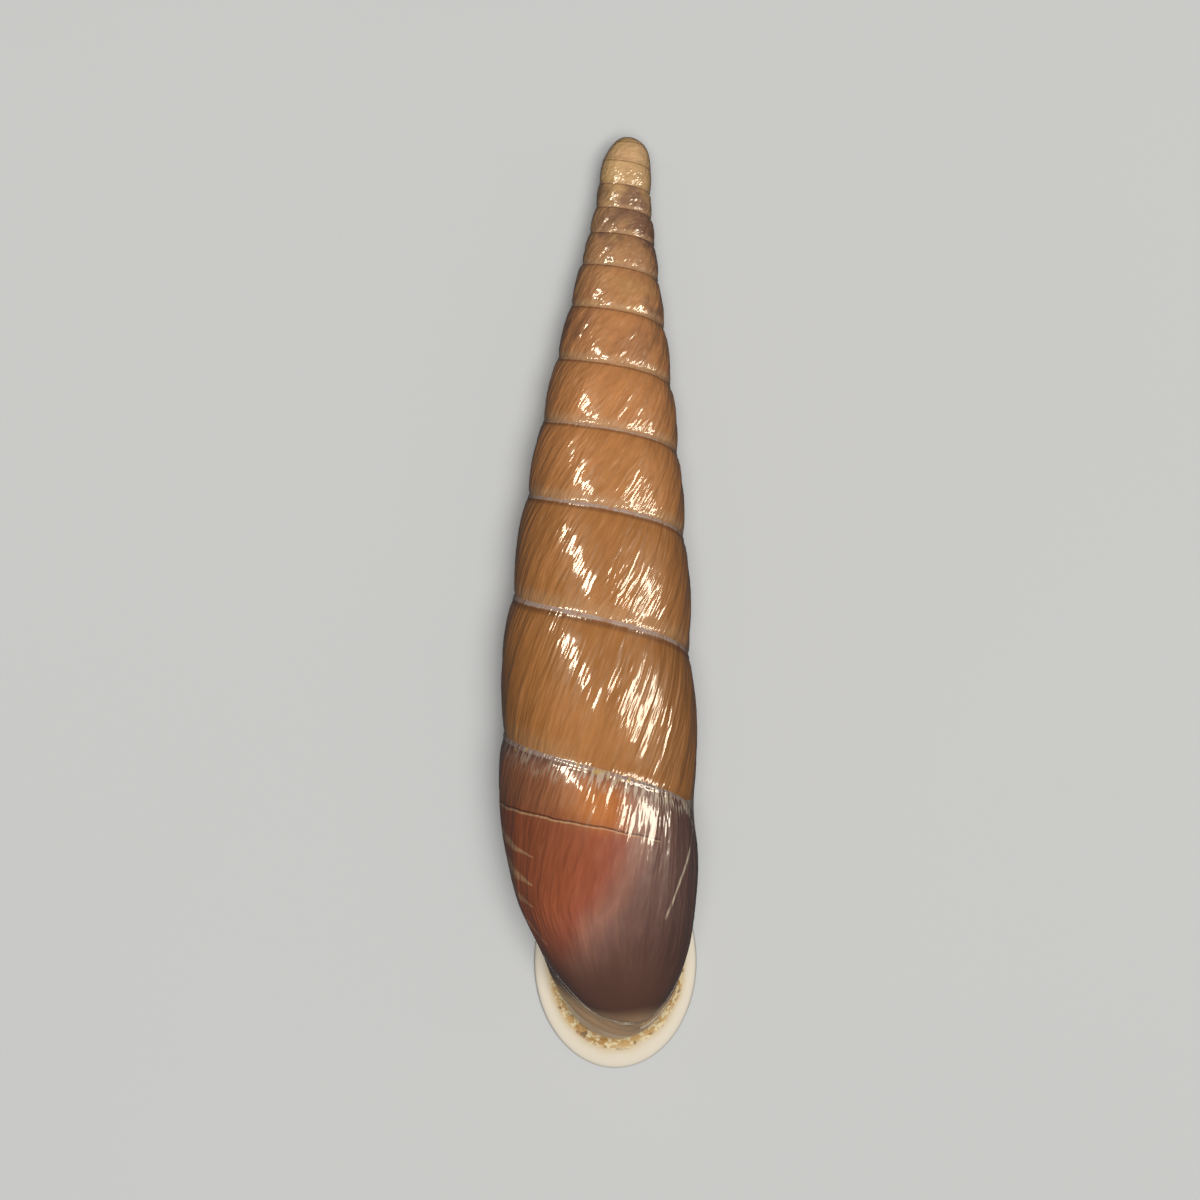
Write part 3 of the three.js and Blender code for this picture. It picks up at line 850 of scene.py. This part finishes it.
# Pale marks on the last whorl where folds show through it: [turn, across] of the start and of the
# end, half the width, how far the mark thins towards its end, and its strength
FOLD_MARKS = (
    ((-0.54, 0.45), (-0.15, 0.399), 0.09, 0.6, 0.6),
    ((-0.5, 0.62), (-0.375, 0.71), 0.46, 0.95, 0.6),
    ((-0.5, 0.79), (-0.39, 0.9), 0.6, 0.9, 0.55),
    ((-0.47, 0.99), (-0.4, 1.06), 0.4, 0.9, 0.45),
    ((-0.47, 1.12), (-0.4, 1.3), 0.16, 0.6, 0.4),
)
# The shadow beside the longest mark, and the line where the growth once rested
FOLD_SHADOW = ((-0.54, 0.437), (-0.15, 0.386), 0.08, 0.3)
RESTING_LINE = ((-0.05, 0.2), (-0.14, 0.95), 0.1, 0.2)
RELIEF_DEPTH = 0.018


class Paint:
    """The places and patterns that the shell's material is made from, with short names for the
    nodes that all its parts use."""

    def __init__(self, tree):
        self.tree = tree
        self.turn, self.across, self.growth, self.zone = (
            put(tree, "ShaderNodeAttribute", attribute_name=name).outputs["Fac"]
            for name in ("turn", "across", "growth", "zone"))
        self.place = put(tree, "ShaderNodeTexCoord").outputs["Object"]
        in_mm = put(tree, "ShaderNodeVectorMath", {0: self.place, "Scale": 1000.0},
                    operation="SCALE").outputs["Vector"]
        self.x, self.y, self.z = put(tree, "ShaderNodeSeparateXYZ", {0: in_mm}).outputs
        # places along the growth lines, long in their direction
        self.lines = put(tree, "ShaderNodeCombineXYZ",
                         {0: self.growth, 1: self.times(self.across, 0.8)}).outputs[0]
        self.cloud = self.noise(260, 2, 0.5)
        self.drift = self.times(self.minus(self.cloud, 0.5), 2.0)
        self.streaks = self.line_noise(2.6, 3, 0.6)
        self.fine = self.line_noise(8.0, 2, 0.6)
        self.broken = self.line_noise(1.7, 3, 0.7)
        self.off_base = self.ramp(self.across, 1.55, 1.15)

    def noise(self, scale, detail, roughness, **settings):
        """A pattern in space."""
        values = {"Vector": self.place, "Scale": scale, "Detail": detail, "Roughness": roughness}
        return put(self.tree, "ShaderNodeTexNoise", values, **settings).outputs[0]

    def line_noise(self, scale, detail, roughness):
        """A pattern drawn out along the growth lines."""
        values = {"Vector": self.lines, "Scale": scale, "Detail": detail, "Roughness": roughness}
        return put(self.tree, "ShaderNodeTexNoise", values, noise_dimensions="2D").outputs[0]

    def plus(self, one, other):
        return maths(self.tree, "ADD", one, other)

    def minus(self, one, other):
        return maths(self.tree, "SUBTRACT", one, other)

    def times(self, *values):
        product = values[0]
        for value in values[1:]:
            product = maths(self.tree, "MULTIPLY", product, value)
        return product

    def frayed(self, value, pattern, reach):
        """The value moved to and fro by a pattern."""
        return self.plus(value, self.times(self.minus(pattern, 0.5), reach))

    def ramp(self, value, low, high, to_low=0.0, to_high=1.0):
        return ramp_between(self.tree, value, low, high, to_low, to_high)

    def over(self, colour, share, rgb):
        return colour_mix(self.tree, share, colour, linear(*rgb))


def spire_colour(paint):
    """Pale at the tip and yellow-brown below, with yellow and violet patches on the worn upper
    whorls."""
    turn, ramp, noise = paint.turn, paint.ramp, paint.noise
    age = put(paint.tree, "ShaderNodeMapRange", {"Value": turn, "From Min": -12.0, "From Max": 0.0})
    colour = colour_ramp(paint.tree, age.outputs["Result"], SPIRE_COLOURS)
    yellow = paint.times(ramp(turn, -5.2, -7.5), ramp(noise(650, 3, 0.6), 0.5, 0.66, 0, 0.5))
    colour = paint.over(colour, yellow, (206, 170, 100))
    violet = ramp(noise(430, 3, 0.6, noise_dimensions="4D"), 0.47, 0.62, 0, 0.7)
    violet = paint.times(ramp(turn, -4.6, -6.0), ramp(turn, -10.6, -9.4), violet)
    return paint.over(colour, violet, (116, 80, 68))


def neck_share(paint):
    """How far the last whorl has turned down to the neck."""
    slope = paint.plus(paint.y, paint.times(paint.minus(paint.z, 6.0), 0.45))
    return paint.ramp(paint.plus(slope, paint.drift), -15.9, -17.3)


def last_whorl_colour(paint, tan):
    """Orange-brown by the suture, red-brown below, violet-brown towards the end, tan by the neck."""
    ramp = paint.ramp
    aside = paint.plus(paint.x, paint.drift)
    slanting = paint.plus(aside, paint.times(paint.minus(-9.5, paint.y), 0.5))
    orange = colour_ramp(paint.tree, ramp(aside, -4.0, 3.8), ORANGE_BROWNS)
    red = colour_ramp(paint.tree, ramp(slanting, -4.0, 5.0), RED_BROWNS)
    colour = colour_mix(paint.tree, ramp(paint.across, 0.3, 0.5), orange, red)
    colour = paint.over(colour, ramp(paint.plus(paint.y, paint.drift), -11.8, -15.8), VIOLET_BROWN)
    return paint.over(colour, tan, NECK_TAN)


def growth_shades(paint, colour):
    """Cloudy shades, and fine dark and pale streaks along the growth lines."""
    ramp = paint.ramp
    shade = paint.plus(ramp(paint.streaks, 0.3, 0.7, -0.07, 0.06),
                       ramp(paint.fine, 0.3, 0.7, -0.05, 0.05))
    shade = paint.plus(paint.times(shade, paint.off_base), ramp(paint.cloud, 0.3, 0.7, 0.9, 1.08))
    grey = put(paint.tree, "ShaderNodeCombineXYZ", {0: shade, 1: shade, 2: shade}).outputs[0]
    colour = colour_mix(paint.tree, 1.0, colour, grey, "MULTIPLY")
    pale = paint.times(ramp(paint.line_noise(5.0, 2, 0.5), 0.6, 0.74, 0, 0.2),
                       ramp(paint.turn, -0.3, -1.2, 0.3, 1), paint.off_base)
    return paint.over(colour, pale, (206, 158, 112))


def whorl_foot(paint, colour):
    """The paler, stained foot of each whorl, where the next one covers it."""
    ramp = paint.ramp
    foot = paint.times(ramp(paint.across, 0.82, 0.97), ramp(paint.turn, -1.25, -1.32),
                       ramp(paint.fine, 0.25, 0.7, 0.35, 0.75), ramp(paint.turn, -1.6, -3.0, 0.45, 1))
    colour = paint.over(colour, foot, (204, 160, 118))
    stains = paint.times(foot, ramp(paint.noise(700, 3, 0.7), 0.5, 0.62, 0, 0.5))
    return paint.over(colour, stains, (176, 134, 74))


def suture_thread(paint, colour):
    """The suture's pale thread, greyer on the younger whorls, with a dark painted shadow line under it.
    """
    across, turn, ramp = paint.across, paint.turn, paint.ramp
    # painted shadow: a dark line just below the suture thread
    under = paint.times(ramp(across, 0.085, 0.045), ramp(across, 0.022, 0.034),
                        ramp(paint.zone, 0.01, 0), 0.55)
    colour = paint.over(colour, under, (92, 52, 32))
    edge = paint.frayed(across, paint.noise(2600, 2, 0.6), 0.02)
    thread = paint.times(ramp(edge, 0.036, 0.024), ramp(paint.broken, 0.3, 0.55, 0.3, 0.75),
                         ramp(turn, -10.5, -6.5, 0.25, 1))
    hue = colour_mix(paint.tree, ramp(turn, -4.5, -2.0), linear(208, 166, 124), linear(198, 178, 166))
    return colour_mix(paint.tree, thread, colour, hue)


def last_suture(paint, colour):
    """Dull violet, short whitish streaks that are partly painted highlight glints, and golden grains
    along the last suture.
    """
    turn, ramp, noise = paint.turn, paint.ramp, paint.noise
    late = ramp(turn, -0.62, -0.4)
    near = paint.frayed(paint.across, paint.broken, 0.12)
    dull = paint.times(late, ramp(near, 0.2, 0.03), 0.5)
    colour = paint.over(colour, dull, (120, 92, 84))
    # short whitish streaks under the last suture: partly its pale crenulations, partly painted
    # highlight glints, stronger towards the mouth
    pale_ticks_and_glints = paint.times(ramp(paint.line_noise(10.5, 1, 0.5), 0.5, 0.6), ramp(near, 0.19, 0.09), late,
                        ramp(turn, -0.45, -0.12, 0.3, 0.75))
    colour = paint.over(colour, pale_ticks_and_glints, (222, 200, 172))
    gold = paint.times(ramp(noise(3300, 1, 0.5), 0.56, 0.62), ramp(paint.across, 0.07, 0.02), late,
                       ramp(noise(420, 1, 0.5), 0.44, 0.52), 0.8)
    return paint.over(colour, gold, (204, 164, 96))


def last_whorl_marks(paint, colour):
    """Folds that show through the last whorl, and the line where its growth once rested."""
    group = streak()
    wavy = paint.frayed(paint.across, paint.noise(900, 2, 0.5), 0.035)

    def mark(start, end, width, thinning):
        return put(paint.tree, "ShaderNodeGroup", {
            "Turn": paint.turn, "Across": wavy, "Start": (*start, 0), "End": (*end, 0),
            "Half width": width, "Thinning": thinning}, node_tree=group).outputs["Mask"]

    colour = paint.over(colour, paint.times(mark(*FOLD_SHADOW), 0.65), (58, 26, 18))
    uneven = paint.ramp(paint.fine, 0.2, 0.6, 0.6, 1)
    for *line, share in FOLD_MARKS:
        colour = paint.over(colour, paint.times(mark(*line), uneven, share), (214, 172, 128))
    rest = paint.times(mark(*RESTING_LINE), paint.ramp(paint.broken, 0.38, 0.56, 0.1, 0.8))
    return paint.over(colour, rest, (226, 204, 174))


def mouth_colour(paint, tan):
    """The neck, the stained and grained back of the lip with painted glints on its bright grains, the
    white lip and the mouth's inside.
    """
    zone, ramp, noise = paint.zone, paint.ramp, paint.noise
    stained = paint.frayed(zone, noise(750, 4, 0.65), 0.4)
    inward = put(paint.tree, "ShaderNodeMapRange",
                 {"Value": stained, "From Min": 0.0, "From Max": MOUTH_ZONES}).outputs["Result"]
    colour = colour_ramp(paint.tree, inward, MOUTH_COLOURS)
    before_lip = ramp(zone, 1.5, 1.3)
    back = paint.times(ramp(zone, 0.8, 1.05), before_lip)
    patches = ramp(noise(640, 3, 0.6, noise_dimensions="4D"), 0.52, 0.6, 0, 0.6)
    colour = paint.over(colour, paint.times(back, patches), (168, 112, 50))
    # bright cream grains on the back of the lip: partly real sand grains, partly painted glints
    grains = ramp(noise(3600, 2, 0.6), 0.5, 0.58, 0, 0.8)
    colour = paint.over(colour, paint.times(back, grains), (250, 234, 190))
    specks = ramp(noise(1900, 2, 0.6), 0.58, 0.66)
    specks = paint.times(specks, ramp(zone, 0.75, 0.95), before_lip, 0.8)
    colour = paint.over(colour, specks, (116, 70, 38))
    return paint.over(colour, paint.times(tan, ramp(zone, 0.9, 0.6)), NECK_TAN)


def shell_relief(paint):
    """Strands finer than the ribs, and pits on the back of the lip."""
    zone, ramp = paint.zone, paint.ramp
    strands = paint.plus(paint.line_noise(4.6, 0, 0.5), paint.times(paint.line_noise(9.0, 0, 0.5), 1.2))
    strands = paint.plus(strands, paint.times(paint.noise(3000, 0, 0.5), 0.3))
    strands = paint.times(strands, ramp(zone, 1.0, 0.4), paint.off_base)
    pits = paint.times(paint.noise(1500, 3, 0.6), ramp(zone, 0.6, 1.0), ramp(zone, 1.6, 1.2), 1.5)
    return put(paint.tree, "ShaderNodeBump", {
        "Height": paint.plus(strands, pits), "Distance": RELIEF_DEPTH * MM,
        "Strength": 1.0}).outputs["Normal"]


def shell_material():
    made = bpy.data.materials.new("grown shell")
    made.use_nodes = True
    tree = made.node_tree
    tree.nodes.clear()
    paint = Paint(tree)
    tan = neck_share(paint)
    colour = colour_mix(tree, paint.ramp(paint.turn, -0.9, -0.62), spire_colour(paint),
                        last_whorl_colour(paint, tan))
    for layer in (growth_shades, whorl_foot, suture_thread, last_suture, last_whorl_marks):
        colour = layer(paint, colour)
    colour = colour_mix(tree, paint.ramp(paint.zone, 0.0, 0.06), colour, mouth_colour(paint, tan))
    # the neck is duller than the whorls and the lip
    gloss = maths(tree, "MAXIMUM", paint.ramp(paint.zone, 0.1, 0.4, 0.9, 0.25),
                  paint.ramp(paint.zone, 1.3, 1.6, 0.0, 0.5))
    relief = shell_relief(paint)
    body = put(tree, "ShaderNodeBsdfPrincipled", {
        "Base Color": colour,
        "Roughness": paint.ramp(paint.streaks, 0.3, 0.7, 0.32, 0.44),
        "Specular IOR Level": 0.3,
        "Normal": relief,
        "Coat Weight": gloss, "Coat Roughness": 0.07, "Coat Normal": relief,
    })
    put(tree, "ShaderNodeOutputMaterial", {"Surface": body.outputs[0]})
    return made


def plain_material(name, colour, roughness):
    made = bpy.data.materials.new(name)
    made.use_nodes = True
    tree = made.node_tree
    shader = tree.nodes["Principled BSDF"]
    place = put(tree, "ShaderNodeTexCoord").outputs["Object"]
    cloud = put(tree, "ShaderNodeTexNoise", {"Vector": place, "Scale": 40.0, "Detail": 2.0}).outputs[0]
    lighter = tuple(min(1, c * 1.03) for c in colour[:3]) + (1,)
    tree.links.new(colour_mix(tree, cloud, colour, lighter), shader.inputs["Base Color"])
    shader.inputs["Roughness"].default_value = roughness
    return made


def soft_light(name, at, size, power, colour=(1, 1, 1), target=(0, 0, 0.004)):
    light = bpy.data.lights.new(name, "AREA")
    light.shape = "RECTANGLE"
    light.size, light.size_y = size
    light.energy = power
    light.color = colour
    lamp = bpy.data.objects.new(name, light)
    lamp.location = at
    lamp.rotation_euler = (Vector(target) - Vector(at)).to_track_quat("-Z", "Y").to_euler()
    bpy.context.scene.collection.objects.link(lamp)
    return lamp


# The piece

shell = bpy.data.objects.new("shell_surface", grown_shell())
bpy.context.scene.collection.objects.link(shell)
blend_seam(shell)
round_cap(shell)
ribs = shell.modifiers.new("growth ribs", "NODES")
ribs.node_group = growth_ribs()
for item in ribs.node_group.interface.items_tree:
    if item.in_out == "INPUT" and item.name == "Rib height":
        ribs[item.identifier] = RIB_HEIGHT * MM
shell = bpy.data.objects.new("shell_surface", evaluated(shell))
bpy.context.scene.collection.objects.link(shell)
keep_on_floor(shell.data)
shell.data.materials.clear()
shell.data.materials.append(shell_material())
shell.data.polygons.foreach_set("use_smooth", [True] * len(shell.data.polygons))
for spare in ("rib_growth", "rib_strength"):
    shell.data.attributes.remove(shell.data.attributes[spare])
shell.data.update()
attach(shell, "root")
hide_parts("shell")

# Floor, lights and camera

sheet = bpy.data.meshes.new("floor")
sheet.from_pydata([(-0.6, -0.6, 0), (0.6, -0.6, 0), (0.6, 0.6, 0), (-0.6, 0.6, 0)], [], [(0, 1, 2, 3)])
floor = bpy.data.objects.new("floor", sheet)
bpy.context.scene.collection.objects.link(floor)
sheet.materials.append(plain_material("pale floor", linear(206, 206, 204), 0.8))
floor.visible_glossy = False
floor.visible_diffuse = False

left = soft_light("left light", (-0.076, 0.049, 0.122), (0.019, 0.066), 0.125, (1, 0.9, 0.72))
right = soft_light("right light", (0.112, 0.014, 0.09), (0.018, 0.13), 0.18, (1, 0.9, 0.72))
overhead = soft_light("overhead light", (0.06, -0.06, 0.8), (0.36, 0.36), 6.0)
# the side lights give only the gloss, and the overhead one only the shading
left.visible_diffuse = False
right.visible_diffuse = False
overhead.visible_glossy = False
world = bpy.data.worlds.new("studio")
bpy.context.scene.world = world
world.use_nodes = True
world.node_tree.nodes["Background"].inputs[0].default_value = (0.9, 0.95, 1.0, 1)
world.node_tree.nodes["Background"].inputs[1].default_value = 0.06
bpy.context.scene.view_settings.view_transform = "Standard"

camera_data = bpy.data.cameras.new("camera")
camera_data.sensor_width = 36
camera_data.lens = 83.8
camera_data.clip_start = 0.005
camera = bpy.data.objects.new("camera", camera_data)
camera.location = (0, 0.00023, 0.1181)
bpy.context.scene.collection.objects.link(camera)
bpy.context.scene.camera = camera

bpy.context.view_layer.update()
